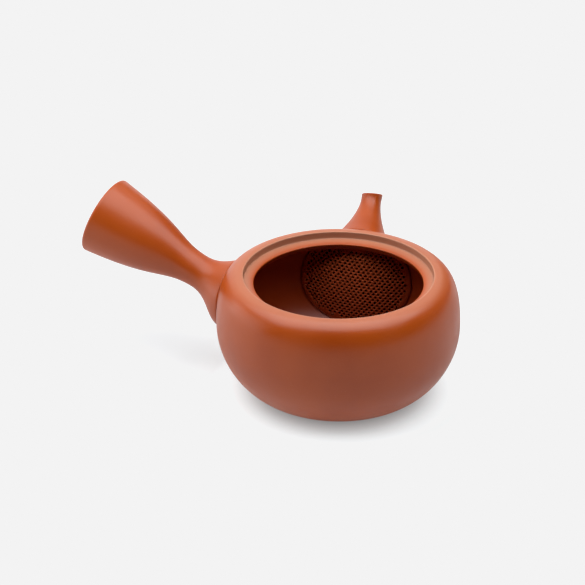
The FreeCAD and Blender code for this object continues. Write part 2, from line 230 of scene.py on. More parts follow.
def wrapped_grid(name: str, grid: Array) -> bpy.types.Object:
    """A closed ring-shaped piece: a grid of points that joins up both ways.

    Args:
        name: The piece's name.
        grid: (rows, columns, 3) points in millimetres.

    Returns:
        The new object.
    """
    rows, columns = grid.shape[:2]
    index = np.arange(rows * columns).reshape(rows, columns)
    below = np.roll(index, -1, axis=0)
    corners = [index, np.roll(index, -1, axis=1), np.roll(below, -1, axis=1), below]
    quads = np.stack(corners, axis=-1).reshape(-1, 4)
    points = grid.reshape(-1, 3)
    return new_mesh(name, points, facing_out(points, [quads]))


def turned_solid(name: str, profile: Array, waver: Array) -> bpy.types.Object:
    """A solid of revolution: x = r cos a, y = r sin a, with each end of the profile on the axis.

    Args:
        name: The piece's name.
        profile: (n, 2) radius and height, first and last on the axis.
        waver: (n - 2, m) change of radius in millimetres, for m steps round the axis.

    Returns:
        The new object.
    """
    rows, around = waver.shape
    angle = full_circle(around)
    radius = profile[1:-1, 0][:, None] + waver
    height = np.broadcast_to(profile[1:-1, 1][:, None], radius.shape)
    ring = np.stack([radius * np.cos(angle), radius * np.sin(angle), height], axis=-1)
    poles = [[0.0, 0.0, profile[0, 1]], [0.0, 0.0, profile[-1, 1]]]
    points = np.concatenate([ring.reshape(-1, 3), poles])
    index = np.arange(rows * around).reshape(rows, around)
    after = np.roll(index, -1, axis=1)
    quads = np.stack([index[:-1], after[:-1], after[1:], index[1:]], axis=-1).reshape(-1, 4)
    foot = np.stack([np.full(around, rows * around), after[0], index[0]], axis=-1)
    top = np.stack([np.full(around, rows * around + 1), index[-1], after[-1]], axis=-1)
    return new_mesh(name, points, facing_out(points, [quads, foot, top]))


def recalculate_outside(piece: bpy.types.Object) -> None:
    """Turns every face of a closed piece outwards.

    Args:
        piece: The piece to mend.
    """
    shell = bmesh.new()
    shell.from_mesh(piece.data)
    bmesh.ops.recalc_face_normals(shell, faces=shell.faces)
    shell.to_mesh(piece.data)
    shell.free()


def mark_points(piece: bpy.types.Object, paler: Array, darker: Array) -> None:
    """Stores the clay's zones on the points of a piece, for its finish to read.

    Args:
        piece: The piece to mark.
        paler: (n,) shares of paler clay, kept as red: lid wear on the seat, and painted sheen and highlight.
        darker: (n,) shares of darker clay inside, kept as green: painted shade.
    """
    empty = np.zeros(len(paler))
    shares = np.stack([paler, darker, empty, empty + 1.0], axis=1).astype(np.float32)
    piece.data.attributes.new(ZONES, "FLOAT_COLOR", "POINT").data.foreach_set("color", shares.ravel())


# Finishes

class Finish(Enum):
    """The record's material slots, by what they are."""

    BURNISHED = "burnished_clay"
    PLAIN = "plain_clay"
    SLIP = "clay_slip"


class NodeSheet:
    """The nodes of one new material, with short ways to add those that the finishes share."""

    def __init__(self, name: str) -> None:
        """Opens a material with its shader, and the piece's own coordinates to place a pattern by.

        Args:
            name: The material's name.
        """
        self.material = bpy.data.materials.new(name)
        self.material.use_nodes = True
        self.nodes = self.material.node_tree.nodes
        self.links = self.material.node_tree.links
        self.shader = self.nodes["Principled BSDF"]
        self.place = self.nodes.new("ShaderNodeTexCoord").outputs["Object"]

    def feed(self, node: bpy.types.Node, inputs: dict) -> None:
        """Fills a node's inputs: a socket is linked to, and anything else is the input's own value.

        Args:
            node: The node.
            inputs: What goes into each named or numbered input.
        """
        for name, value in inputs.items():
            if isinstance(value, bpy.types.NodeSocket):
                self.links.new(value, node.inputs[name])
            else:
                node.inputs[name].default_value = value

    def noise(self, scale: float, detail: float, stretch: tuple = (1.0, 1.0, 1.0)) -> bpy.types.NodeSocket:
        """Fractal noise on the piece's own coordinates, stretched by a mapping.

        Args:
            scale: Waves to a metre.
            detail: How many finer layers it has.
            stretch: A factor on the scale along x, y and z.

        Returns:
            The noise, about 0 to 1.
        """
        mapping = self.nodes.new("ShaderNodeMapping")
        self.feed(mapping, {"Vector": self.place, "Scale": stretch})
        texture = self.nodes.new("ShaderNodeTexNoise")
        self.feed(texture, {"Vector": mapping.outputs["Vector"], "Scale": scale, "Detail": detail})
        return texture.outputs["Fac"]

    def ramp(self, source: bpy.types.NodeSocket, given: tuple, wanted: tuple) -> bpy.types.NodeSocket:
        """Maps one range of values onto another, smoothly and clamped.

        Args:
            source: The value.
            given: Its low and high ends.
            wanted: What these become.

        Returns:
            The mapped value.
        """
        node = self.nodes.new("ShaderNodeMapRange")
        node.interpolation_type = "SMOOTHSTEP"
        self.feed(node, {"Value": source, "From Min": given[0], "From Max": given[1],
                         "To Min": wanted[0], "To Max": wanted[1]})
        return node.outputs["Result"]

    def mixed(self, amount: bpy.types.NodeSocket, first: Shade, second: Shade) -> bpy.types.NodeSocket:
        """Mixes two colours.

        Args:
            amount: The second colour's share.
            first, second: Each a socket or a red, green and blue.

        Returns:
            The mixed colour.
        """
        node = self.nodes.new("ShaderNodeMix")
        node.data_type = "RGBA"
        first, second = (colour if isinstance(colour, bpy.types.NodeSocket) else (*colour, 1.0)
                         for colour in (first, second))
        self.feed(node, {"Factor": amount, "A": first, "B": second})
        return node.outputs["Result"]

    def relief(self, layers: list) -> None:
        """Lays bumps on one another and gives them to the shader.

        Args:
            layers: Height, strength and distance of each bump, the lowest first.
        """
        under = None
        for height, strength, distance in layers:
            node = self.nodes.new("ShaderNodeBump")
            self.feed(node, {"Height": height, "Strength": strength, "Distance": distance})
            if under is not None:
                self.links.new(under, node.inputs["Normal"])
            under = node.outputs["Normal"]
        self.links.new(under, self.shader.inputs["Normal"])


@dataclass(frozen=True)
class ClayFinish:
    """Unglazed red clay: fine grain, faint horizontal tool lines, cloudy firing and satin sheen.

    Scales are in waves to a metre, and each range is where the noise starts and ends to count.
    """

    name: str
    colour: tuple = (0.335, 0.053, 0.003)
    cloud_colour: tuple = (0.295, 0.043, 0.002)
    cloud_scale: float = 28.0
    cloud_range: tuple = (0.38, 0.68)
    speck_colour: tuple = (0.42, 0.11, 0.045)
    speck_scale: float = 2600.0
    speck_range: tuple = (0.66, 0.76)
    speck_share: float = 0.55
    roughness: float = 0.34
    roughness_swing: float = 0.04
    sheen_scale: float = 75.0
    sheen_range: tuple = (0.3, 0.7)
    specular: float = 0.36
    specular_at_edge: float = 0.06
    edge_blend: float = 0.5
    edge_range: tuple = (0.35, 0.95)
    grain_bump: float = 0.05
    grain_scale: float = 1500.0
    grain_depth: float = 0.2
    line_bump: float = 0.04
    line_pitch: float = 0.55
    line_stretch: tuple = (0.06, 0.06, 4.0)
    line_depth: float = 0.4
    # Paler clay for the seat and crest: partly lid wear, partly painted sheen and highlight. Darker clay
    # inside: painted shade.
    wear_and_sheen_colour: tuple = (0.42, 0.185, 0.11)
    inside_shade_colour: tuple = (0.21, 0.026, 0.002)

    def build(self) -> bpy.types.Material:
        """Makes the node material.

        Returns:
            The material.
        """
        sheet = NodeSheet(self.name)
        clouds = sheet.ramp(sheet.noise(self.cloud_scale, detail=4.0), self.cloud_range, (0.0, 1.0))
        specks = sheet.noise(self.speck_scale, detail=2.0)
        specks = sheet.ramp(specks, self.speck_range, (0.0, self.speck_share))
        colour = sheet.mixed(clouds, self.colour, self.cloud_colour)
        colour = sheet.mixed(specks, colour, self.speck_colour)
        zone = sheet.nodes.new("ShaderNodeAttribute")
        zone.attribute_name = ZONES
        shares = sheet.nodes.new("ShaderNodeSeparateColor")
        sheet.feed(shares, {"Color": zone.outputs["Color"]})
        # Red share: paler, partly wear and partly painted sheen and highlight. Green share: darker inside,
        # painted shade.
        colour = sheet.mixed(shares.outputs["Red"], colour, self.wear_and_sheen_colour)
        colour = sheet.mixed(shares.outputs["Green"], colour, self.inside_shade_colour)
        sheen = sheet.ramp(sheet.noise(self.sheen_scale, detail=3.0), self.sheen_range,
                           (self.roughness - self.roughness_swing, self.roughness + self.roughness_swing))
        facing = sheet.nodes.new("ShaderNodeLayerWeight")
        sheet.feed(facing, {"Blend": self.edge_blend})
        gloss = sheet.ramp(facing.outputs["Facing"], self.edge_range, (self.specular, self.specular_at_edge))
        sheet.feed(sheet.shader, {
            "Base Color": colour,
            "Roughness": sheen,
            "Specular IOR Level": gloss,
        })
        grain = sheet.noise(self.grain_scale, detail=5.0)
        line_scale = 1.0 / (self.line_pitch * MM) / self.line_stretch[2]
        lines = sheet.noise(line_scale, detail=3.0, stretch=self.line_stretch)
        sheet.relief([(grain, self.grain_bump, self.grain_depth * MM),
                      (lines, self.line_bump, self.line_depth * MM)])
        return sheet.material


@dataclass(frozen=True)
class FloorFinish:
    """A plain pale sheet with a very faint tooth that glows though it is no lamp: a weaker glow round the
    pot paints its contact shadow, and a stronger one far off.

    The glow is a table of radius in millimetres and strength.
    """

    name: str = "pale_floor"
    colour: tuple = (0.45, 0.46, 0.47)
    roughness: float = 0.9
    glow_colour: tuple = (0.94, 1.0, 1.01)
    # Painted contact shadow: the glow is low at the pot's base and rises outwards.
    glow: tuple = ((31.5, 0.20), (36.5, 0.28), (40.5, 0.42), (44.5, 0.54), (48.5, 0.60), (53.0, 0.60),
                   (60.0, 0.46), (75.0, 0.40), (350.0, 0.40), (550.0, 0.90))
    glow_reach: float = 1000.0
    tooth_scale: float = 900.0
    tooth_bump: float = 0.02
    tooth_depth: float = 0.1

    def build(self) -> bpy.types.Material:
        """Makes the node material.

        Returns:
            The material.
        """
        sheet = NodeSheet(self.name)
        away = sheet.nodes.new("ShaderNodeVectorMath")
        away.operation = "LENGTH"
        sheet.feed(away, {"Vector": sheet.place})
        share = sheet.nodes.new("ShaderNodeMath")
        share.operation = "MULTIPLY"
        sheet.feed(share, {0: away.outputs["Value"], 1: 1.0 / (self.glow_reach * MM)})
        # Glow by distance from the pot's middle: a painted contact shadow round the base.
        ramp = sheet.nodes.new("ShaderNodeValToRGB")
        ramp.color_ramp.interpolation = "EASE"
        stops = ramp.color_ramp.elements
        ready = len(stops)
        for row, (radius, strength) in enumerate(self.glow):
            stop = stops[row] if row < ready else stops.new(radius / self.glow_reach)
            stop.position = radius / self.glow_reach
            stop.color = (strength, strength, strength, 1.0)
        sheet.feed(ramp, {"Fac": share.outputs["Value"]})
        sheet.feed(sheet.shader, {
            "Base Color": (*self.colour, 1.0),
            "Roughness": self.roughness,
            "Specular IOR Level": 0.0,
            "Emission Color": (*self.glow_colour, 1.0),
            "Emission Strength": ramp.outputs["Color"],
        })
        tooth = sheet.noise(self.tooth_scale, detail=2.0)
        sheet.relief([(tooth, self.tooth_bump, self.tooth_depth * MM)])
        return sheet.material


@dataclass
class ClayShelf:
    """The three clay finishes, built once and shared by the pieces."""

    burnished: ClayFinish = ClayFinish("burnished_clay")
    plain: ClayFinish = ClayFinish(
        "plain_clay", (0.33, 0.058, 0.014), (0.29, 0.050, 0.012), roughness=0.50, specular=0.2,
        grain_bump=0.12, line_bump=0.05)
    slip: ClayFinish = ClayFinish(
        "clay_slip", (0.20, 0.026, 0.003), (0.16, 0.020, 0.003), roughness=0.55, grain_bump=0.2,
        line_bump=0.0)
    made: dict = field(default_factory=dict)

    def put_on(self, piece: bpy.types.Object, finish: Finish) -> None:
        """Gives a piece its clay.

        Args:
            piece: The object to dress.
            finish: Which of the record's slots it takes.
        """
        if finish not in self.made:
            recipes = {Finish.BURNISHED: self.burnished, Finish.PLAIN: self.plain, Finish.SLIP: self.slip}
            self.made[finish] = recipes[finish].build()
        piece.data.materials.clear()
        piece.data.materials.append(self.made[finish])


def hand_over(piece: bpy.types.Object, node: str) -> bpy.types.Object:
    """Rides a finished piece on the one body, in place of its CAD node.

    Args:
        piece: The finished object.
        node: The CAD node that it stands for.

    Returns:
        The same object.
    """
    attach(piece, "root")
    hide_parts(node)
    LOG.info("%s: %d faces", piece.name, len(piece.data.polygons))
    return piece


# Thrown pot

@dataclass
class ThrownPot:
    """The thrown pot: one wall from base to mouth, with the lid's seat and the pour hole.

    A pull is how far a curve's handle lies from its end. Wear and sheen is a table of radius and share of
    paler clay: partly lid wear, partly painted sheen on the seat and a painted highlight on the crest.
    Fine is how many points each run of the wall has where a radius is read from it.
    """

    belly_radius: float = 55.0
    belly_height: float = 33.0
    belly_pull_down: float = 15.8
    belly_pull_up: float = 16.6
    base_radius: float = 31.4
    base_pull: tuple = (12.3, 2.7)
    rim_height: float = 57.0
    shoulder_pull: float = 8.0
    seat_radius: float = 42.7
    seat_depth: float = 3.4
    seat_corner: float = 0.5
    rim_lip: float = 0.5
    rim_width: float = 0.8
    ledge_fall: float = 0.7
    ledge_thickness: float = 3.0
    mouth_radius: float = 38.1
    mouth_edge: float = 0.5
    mouth_undercut: float = 1.2
    wall: float = 3.8
    hollow_pull_down: float = 14.5
    hollow_pull_up: float = 14.0
    throat_pull: float = 9.0
    floor: float = 4.0
    floor_radius: float = 27.0
    floor_pull: tuple = (12.5, 2.0)
    pour_hole_radius: float = 10.5
    pour_bar: tuple = (-12.0, 14.0)
    pour_sides: int = 48
    spout_root: tuple = (47.7, 39.2)
    spout_tilt: float = 25.0
    around: int = 320
    fine: int = 400
    waver: float = 0.06
    waver_seed: int = 3
    waver_inner: float = 30.0
    zone_gap: float = 0.2
    # Paler share by radius: partly lid wear, partly painted sheen on the ledge and wall, and a painted
    # highlight on the crest.
    wear_and_sheen: tuple = ((38.8, 0.0), (40.0, 0.4), (41.5, 0.7), (42.8, 1.0), (43.4, 0.45), (46.0, 0.4),
                     (50.0, 0.0))

    def outer(self, count: int = 60) -> Array:
        """The outer wall from the base edge to the crest: two cubic runs that meet at the belly.

        Args:
            count: Points in each run.

        Returns:
            (n, 2) points of radius and height.
        """
        radius, height = self.belly_radius, self.belly_height
        low = cubic((self.base_radius, 0.0), (self.base_radius + self.base_pull[0], self.base_pull[1]),
                    (radius, height - self.belly_pull_down), (radius, height), count)
        crest = self.seat_radius + self.rim_width
        high = cubic((radius, height), (radius, height + self.belly_pull_up),
                     (crest + self.shoulder_pull, self.rim_height), (crest, self.rim_height), count)
        return np.concatenate([low, high[1:]])

    def seat(self) -> Array:
        """The rim's inner side: a round lip, the upright wall, a round corner, the ledge, the mouth's edge.

        Returns:
            (n, 2) points of radius and height, from the crest down to the throat.
        """
        lip = round_corner((self.seat_radius + self.rim_lip, self.rim_height - self.rim_lip),
                           self.rim_lip, start=90, stop=180, count=8)
        floor = self.rim_height - self.seat_depth
        corner = round_corner((self.seat_radius - self.seat_corner, floor + self.seat_corner),
                              self.seat_corner, start=0, stop=-90, count=8)
        edge = floor - self.ledge_fall
        mouth = round_corner((self.mouth_radius + self.mouth_edge, edge - self.mouth_edge),
                             self.mouth_edge, start=90, stop=180, count=9)
        ledge = np.linspace(corner[-1], mouth[0], num=10)[1:-1]
        wall = np.linspace(lip[-1], corner[0], num=4)[1:-1]
        cone = np.linspace(mouth[-1], self.throat(), num=6)[1:]
        return np.concatenate([lip[1:], wall, corner, ledge, mouth, cone])

    def throat(self) -> tuple:
        """Where the mouth's wall meets the hollow under the ledge, as radius and height."""
        under = self.rim_height - self.seat_depth - self.ledge_fall - self.ledge_thickness
        return (self.mouth_radius + self.mouth_undercut, under)

    def inner(self, count: int = 48) -> Array:
        """The inner wall from under the ledge to the floor: two cubic runs.

        Args:
            count: Points in each run.

        Returns:
            (n, 2) points of radius and height.
        """
        radius, height = self.belly_radius - self.wall, self.belly_height
        throat, under = self.throat()
        high = cubic((throat, under), (throat + self.throat_pull, under),
                     (radius, height + self.hollow_pull_up), (radius, height), count)
        low = cubic((radius, height), (radius, height - self.hollow_pull_down),
                    (self.floor_radius + self.floor_pull[0], self.floor + self.floor_pull[1]),
                    (self.floor_radius, self.floor), count)
        return np.concatenate([high, low[1:]])

    def section(self) -> Array:
        """The whole turned section, from the middle of the base round to the middle of the floor.

        Returns:
            (n, 2) points of radius and height.
        """
        base = np.linspace((0.0, 0.0), (self.base_radius, 0.0), num=12)[:-1]
        floor = np.linspace((self.floor_radius, self.floor), (0.0, self.floor), num=12)[1:]
        return np.concatenate([base, self.outer(), self.seat(), self.inner()[1:], floor])

    def outside_radius(self, height: Array, growth: float) -> Array:
        """The outer wall's radius at given heights, grown outwards by a distance."""
        line = grown(self.outer(self.fine), growth)
        return np.interp(height, line[:, 1], line[:, 0])

    def inside_radius(self, height: Array, shrink: float) -> Array:
        """The inner wall's radius at given heights, drawn in by a distance."""
        line = grown(self.inner(self.fine), shrink)[::-1]
        return np.interp(height, line[:, 1], line[:, 0], left=0.0, right=0.0)

    def build(self, clay: ClayShelf) -> bpy.types.Object:
        """Turns the section, cuts the pour hole through the wall and dresses the pot.

        Args:
            clay: The finishes.

        Returns:
            The pot.
        """
        profile = self.section()
        radius, height = profile[1:-1, :1], profile[1:-1, 1:]
        waver = self.waver * drift(full_circle(self.around)[None, :], height, self.waver_seed)
        pot = turned_solid("thrown_pot", profile, waver * np.minimum(1.0, radius / self.waver_inner))
        self.pierce(pot)
        self.mark_zones(pot)
        clay.put_on(pot, Finish.BURNISHED)
        return hand_over(pot, "pot_body")

    def mark_zones(self, pot: bpy.types.Object) -> None:
        """Marks where the clay is paler or darker: paler on the seat and crest, partly lid wear and partly
        painted sheen and highlight, and darker inside as painted shade.

        The paler share is read from a table of radii across the ledge, the seat's wall and the crest. The
        inside, darkened as painted shade, is where the outer wall, R(z), lies more than half the wall's
        thickness further out than r.

        Args:
            pot: The pierced pot.
        """
        place = np.empty(len(pot.data.vertices) * 3, dtype=np.float32)
        pot.data.vertices.foreach_get("co", place)
        x, y, z = place.reshape(-1, 3).T / MM
        radius = np.hypot(x, y)
        edge = self.rim_height - self.seat_depth - self.ledge_fall - self.mouth_edge
        # Paler on the seat and crest (partly wear, partly painted sheen and highlight); darker inside
        # (painted shade).
        wear_and_sheen = np.interp(radius, *zip(*self.wear_and_sheen)) * (z > edge)
        deep = radius < self.outside_radius(z, 0.0) - self.wall / 2
        mark_points(pot, wear_and_sheen, deep & (z > self.floor / 2) & (z < edge - self.zone_gap))

    def pierce(self, pot: bpy.types.Object) -> None:
        """Cuts the pour hole: the pot less a round bar along the spout's root.

        Args:
            pot: The turned pot, whose mesh is replaced.
        """
        tilt, sides = math.radians(self.spout_tilt), self.pour_sides
        along = np.array([0.0, math.cos(tilt), math.sin(tilt)])
        side, up = np.array([1.0, 0.0, 0.0]), np.array([0.0, -along[2], along[1]])
        middle = np.array([0.0, *self.spout_root])
        turn = full_circle(sides)[:, None]
        circle = middle + self.pour_hole_radius * (np.cos(turn) * side + np.sin(turn) * up)
        start, stop = (reach * along for reach in self.pour_bar)
        points = np.concatenate([circle + start, circle + stop, [middle + start, middle + stop]])
        low = np.arange(sides)
        near, high = np.roll(low, -1), low + sides
        far = near + sides
        caps = [np.stack([np.full(sides, 2 * sides), near, low], axis=-1),
                np.stack([np.full(sides, 2 * sides + 1), high, far], axis=-1)]
        faces = [np.stack([low, near, far, high], axis=-1), *caps]
        bar = new_mesh("pour_hole_bar", points, facing_out(points, faces))
        cut = pot.modifiers.new("pour_hole", "BOOLEAN")
        cut.operation = "DIFFERENCE"
        cut.solver = "EXACT"
        cut.object = bar
        made = bpy.data.meshes.new_from_object(pot.evaluated_get(bpy.context.evaluated_depsgraph_get()))
        pot.modifiers.clear()
        pot.data = made
        bpy.data.objects.remove(bar)


# Handle and spout

@dataclass(frozen=True)
class TubeRows:
    """How many rows of points each stretch of a luted tube has."""

    edge: int
    body: int
    lip: int
    hollow: int
    face: int


@dataclass
class LutedTube:
    """What the handle and the spout share: a hollow tube whose foot is fitted to the belly over slip.

    The way along the tube is a reach in millimetres or a share, as each tube says. Search holds the two
    ends of the way in which its lines leave the belly. Slip edge is a table of how far the slip's edge
    stands out, in millimetres, and how far up the slip that is.
    """

    pot: ThrownPot
    search: tuple
    samples: int
    rows: TubeRows
    around: int
    lip_length: float
    slip: float = 0.6
    slip_overlap: float = 0.3
    slip_edge: tuple = ((-0.4, 0.0), (-0.05, 1 / 6), (0.1, 0.5), (-0.05, 5 / 6), (-0.4, 1.0))

    def place(self, way: Array, radius: Array, turn: Array) -> Array:
        """Points of the tube; each kind of tube says how."""
        raise NotImplementedError

    def skin(self, way: Array) -> Array:
        """The outer radius; each kind of tube says how."""
        raise NotImplementedError

    def bore(self, way: Array) -> Array:
        """The inner radius; each kind of tube says how."""
        raise NotImplementedError

    def contact(self, radius_at: Callable, growth: float) -> Array:
        """Where each lengthwise line leaves the grown belly, found where r - R(z) changes sign.

        Args:
            radius_at: Gives the lines' radius at an (n, 1) way, as (n, 1), (m,) or (n, m).
            growth: How far out from the belly.

        Returns:
            (m,) places along the way.
        """
        way = np.linspace(*self.search, self.samples)[:, None]
        points = self.place(way, radius_at(way), full_circle(self.around)[None, :])
        gap = np.hypot(points[..., 0], points[..., 1]) - self.pot.outside_radius(points[..., 2], growth)
        return last_crossing(way[:, 0], gap)

    def ring(self, radius: Array, growth: float) -> Array:
        """A ring of points with given radii, where it leaves the grown belly."""
        return self.place(self.contact(lambda way: radius, growth), radius, full_circle(self.around))

    def fitted_tube(self, name: str, lip_start: Array, run: Array, depth: Array) -> bpy.types.Object:
        """The fitted tube as one wrapped grid: foot's edge, body, lip, hollow and the face on the slip.

        The foot's edge is a round, sunk by depth (1 - sqrt(1 - (1 - c)^2)), and the lip is a half round.

        Args:
            name: The piece's name.
            lip_start: Where the lip's round starts along the way.
            run: How far along the way the foot's edge is rounded.
            depth: How deep that round is.

        Returns:
            The new object.
        """
        turn, rows = full_circle(self.around), self.rows
        start, inside = self.contact(self.skin, self.slip), self.contact(self.bore, self.slip)

        curl = np.linspace(0.0, 1.0, rows.edge)[:, None] ** 2
        way = start + run * curl
        sink = depth * (1 - np.sqrt(np.clip(1 - (1 - curl) ** 2, 0, 1)))
        edge = self.place(way, self.skin(way) - sink, turn)

        way = blended(start + run, lip_start, np.linspace(0.0, 1.0, rows.body)[1:, None])
        body = self.place(way, self.skin(way), turn)

        bow = np.radians(np.linspace(90.0, -90.0, rows.lip))[1:-1, None]
        outer, inner = self.skin(lip_start), self.bore(lip_start)
        lip = self.place(lip_start + self.lip_length * np.cos(bow),
                         (outer + inner) / 2 + (outer - inner) / 2 * np.sin(bow), turn)

        way = blended(lip_start, inside, np.linspace(0.0, 1.0, rows.hollow)[:, None])
        hollow = self.place(way, self.bore(way), turn)

        near, far = self.bore(inside), self.skin(start) - depth
        face = np.stack([self.ring(blended(near, far, share), self.slip)
                         for share in np.linspace(0.0, 1.0, rows.face)[1:-1]])
        return wrapped_grid(name, np.concatenate([edge, body, lip, hollow, face]))

    def slip_ring(self, name: str, inner: Array, outer: Array) -> bpy.types.Object:
        """The ring of slip under the foot: a flat band between belly and foot with a soft outer edge.

        Args:
            name: The piece's name.
            inner, outer: The band's radii round the tube.

        Returns:
            The new object, its first row of points on the belly.
        """
        edge = [(outer + out, lift) for out, lift in self.slip_edge]
        band = [(inner, 0.0), *edge, (inner, 1.0)]
        return wrapped_grid(name, np.stack([self.ring(radius, lift * self.slip) for radius, lift in band]))


@dataclass
class TrumpetHandle(LutedTube):
    """The hollow trumpet handle, thrown apart and luted to the belly. Its way is a reach in millimetres.

    A pair is a size where the seam at the foot is smoothed over, then where it stands open. Seam opens
    holds the sines of the turn between which it changes.
    """

    search: tuple = (38.0, 68.0)
    samples: int = 1500
    rows: TubeRows = TubeRows(edge=10, body=110, lip=14, hollow=70, face=6)
    around: int = 192
    lip_length: float = 1.2
    azimuth: float = 165.1
    tilt: float = 20.0
    axis_height: float = 16.4
    root_reach: float = 44.0
    foot_reach: float = 54.0
    foot_radius: float = 17.0
    foot_pull: tuple = (7.0, 0.4)
    foot_wall: float = 3.6
    waist_reach: float = 75.4
    waist_radius: float = 7.8
    waist_pulls: tuple = (10.2, 15.6)
    end_reach: float = 128.6
    end_radius: float = 18.5
    end_pull: tuple = (37.7, 4.3)
    wall: float = 2.7
    edge_round: tuple = (0.35, 1.5)
    setback: tuple = (-0.25, 1.8)
    seam_opens: tuple = (0.05, 0.6)
    slip_waver: float = 0.1
    slip_seed: int = 11
    # Share of paler slip at the top of the seam: a painted highlight on the ridge.
    smoothed: float = 0.35

    def line(self) -> Array:
        """The outer line: a straight root, the foot's cubic run and the trumpet's.

        Returns:
            (n, 2) points of reach and radius.
        """
        waist, end = self.waist_reach, self.end_reach
        root = np.array([[self.root_reach, self.foot_radius]])
        foot = cubic((self.foot_reach, self.foot_radius),
                     (self.foot_reach + self.foot_pull[0], self.foot_radius + self.foot_pull[1]),
                     (waist - self.waist_pulls[0], self.waist_radius), (waist, self.waist_radius),
                     count=400)
        bell = cubic((waist, self.waist_radius), (waist + self.waist_pulls[1], self.waist_radius),
                     (end - self.end_pull[0], self.end_radius - self.end_pull[1]),
                     (end - self.lip_length, self.end_radius), count=600)
        return np.concatenate([root, foot, bell[1:]])

    def skin(self, way: Array) -> Array:
        """The outer radius, read from the line."""
        return np.interp(way, *self.line().T)

    def bore(self, way: Array) -> Array:
        """The inner radius: the outer line less the wall, which is thicker at the foot.

        Args:
            way: Reaches along the axis.

        Returns:
            The radius at each.
        """
        reach, radius = self.line().T
        thick = np.interp(reach, [self.foot_reach, self.waist_reach], [self.foot_wall, self.wall])
        return np.interp(way, reach, radius - thick)

    def place(self, way: Array, radius: Array, turn: Array) -> Array:
        """Points about the tilted axis: foot + reach d + radius (cos a e1 + sin a e2).

        Args:
            way: Reach along the axis.
            radius: Distance from it.
            turn: Angle round it.

        Returns:
            Points in millimetres.
        """
        azimuth, tilt = math.radians(self.azimuth), math.radians(self.tilt)
        flat = np.array([math.cos(azimuth), math.sin(azimuth), 0.0])
        along = math.cos(tilt) * flat + np.array([0.0, 0.0, math.sin(tilt)])
        side = np.array([-flat[1], flat[0], 0.0])
        up = np.cross(along, side)
        way, radius, turn = (part[..., None] for part in np.broadcast_arrays(way, radius, turn))
        foot = np.array([0.0, 0.0, self.axis_height])
        return foot + way * along + radius * (np.cos(turn) * side + np.sin(turn) * up)

    def open_share(self) -> Array:
        """How far the seam stands open round the foot: 0 at the top, smoothed over with slip, to 1 below."""
        low, high = self.seam_opens
        return eased(np.clip((high - np.sin(full_circle(self.around))) / (high - low), 0.0, 1.0))

    def build(self, clay: ClayShelf) -> bpy.types.Object:
        """Builds the fitted trumpet and dresses it.

        Args:
            clay: The finishes.

        Returns:
            The handle.
        """
        rounding = np.interp(self.open_share(), (0.0, 1.0), self.edge_round)
        handle = self.fitted_tube("trumpet_handle", self.end_reach - self.lip_length, rounding, rounding)
        clay.put_on(handle, Finish.BURNISHED)
        return hand_over(handle, "handle")

    def build_slip(self, clay: ClayShelf) -> bpy.types.Object:
        """Builds the ring of slip under the foot, painted paler as a highlight along the ridge where it is
        smoothed over.

        Args:
            clay: The finishes.

        Returns:
            The ring of slip.
        """
        opening = self.open_share()
        waver = self.slip_waver * drift(full_circle(self.around), np.zeros(1), self.slip_seed)
        foot = self.skin(self.contact(self.skin, self.slip))
        outer = foot - np.interp(opening, (0.0, 1.0), self.setback) + waver
        inner = np.full(self.around, self.foot_radius - self.foot_wall + self.slip_overlap)
        slip = self.slip_ring("handle_luting_slip", inner, outer)
        rows = len(slip.data.vertices) // self.around
        # Paler slip along the top of the seam is a painted highlight on the ridge.
        paler = np.tile(self.smoothed * (1.0 - opening), rows)
        mark_points(slip, paler, np.zeros(len(paler)))
        clay.put_on(slip, Finish.SLIP)
        return hand_over(slip, "handle_slip_joint")


